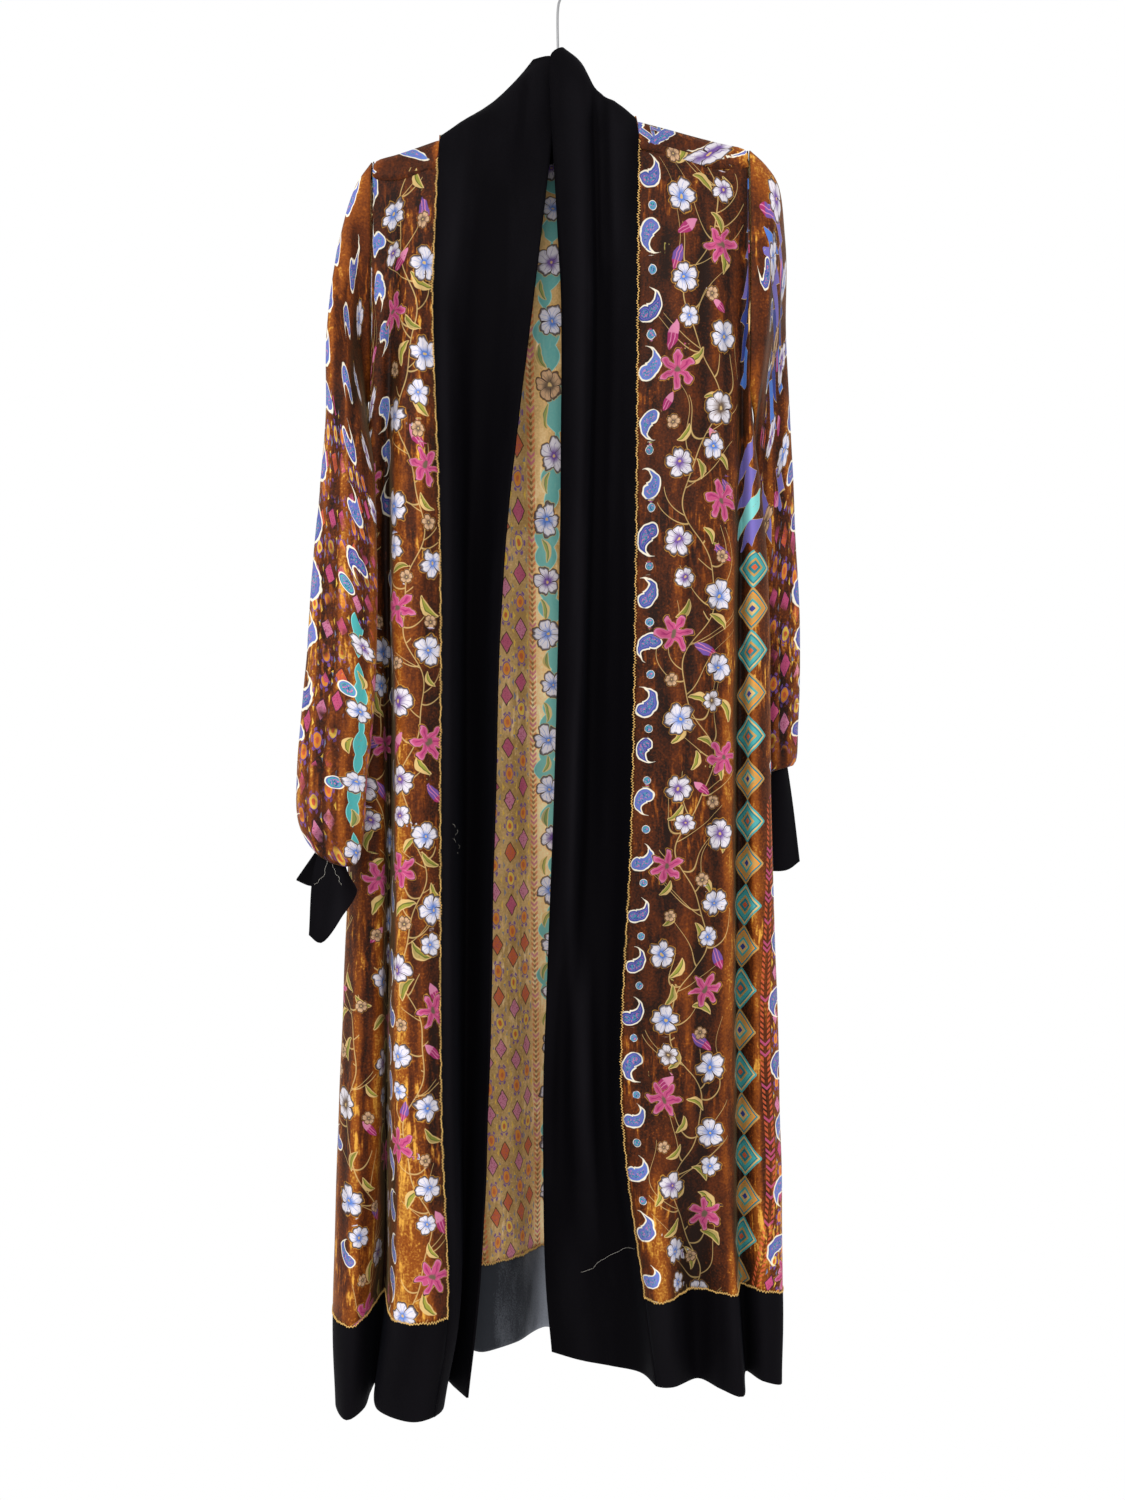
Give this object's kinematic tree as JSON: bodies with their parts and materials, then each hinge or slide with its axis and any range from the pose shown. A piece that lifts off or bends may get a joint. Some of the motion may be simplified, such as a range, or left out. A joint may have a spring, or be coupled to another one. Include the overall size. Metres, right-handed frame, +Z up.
{
  "type": "open velvet kimono on a hanger",
  "caption": "Long open-fronted velvet kimono with gathered sleeves, bell cuffs and a wide collar band, hanging on a slim hanger from its wire hook.",
  "frame": {"origin": "inside top of the hook, where the rail carries it", "axes": "+Z up, +X to the wearer's left, -Y to the front of the garment"},
  "size_m": [0.4836, 0.2393, 1.3744],
  "materials": {
    "printed_velvet": "soft pile, printed",
    "plain_velvet": "soft pile",
    "hanger_plastic": "satin",
    "hook_wire": "polished"
  },
  "bodies": {
    "root": {"back_panel": "printed_velvet", "front_panel_right": "printed_velvet", "front_panel_left": "printed_velvet", "sleeve_right": "printed_velvet", "sleeve_left": "printed_velvet", "cuff_right": "plain_velvet", "cuff_left": "plain_velvet", "front_band_right": "plain_velvet", "front_band_left": "plain_velvet", "hem_band_back": "plain_velvet", "hem_band_right": "plain_velvet", "hem_band_left": "plain_velvet", "hanger_body": "hanger_plastic", "hanger_hook": "hook_wire"}
  },
  "joints": []
}
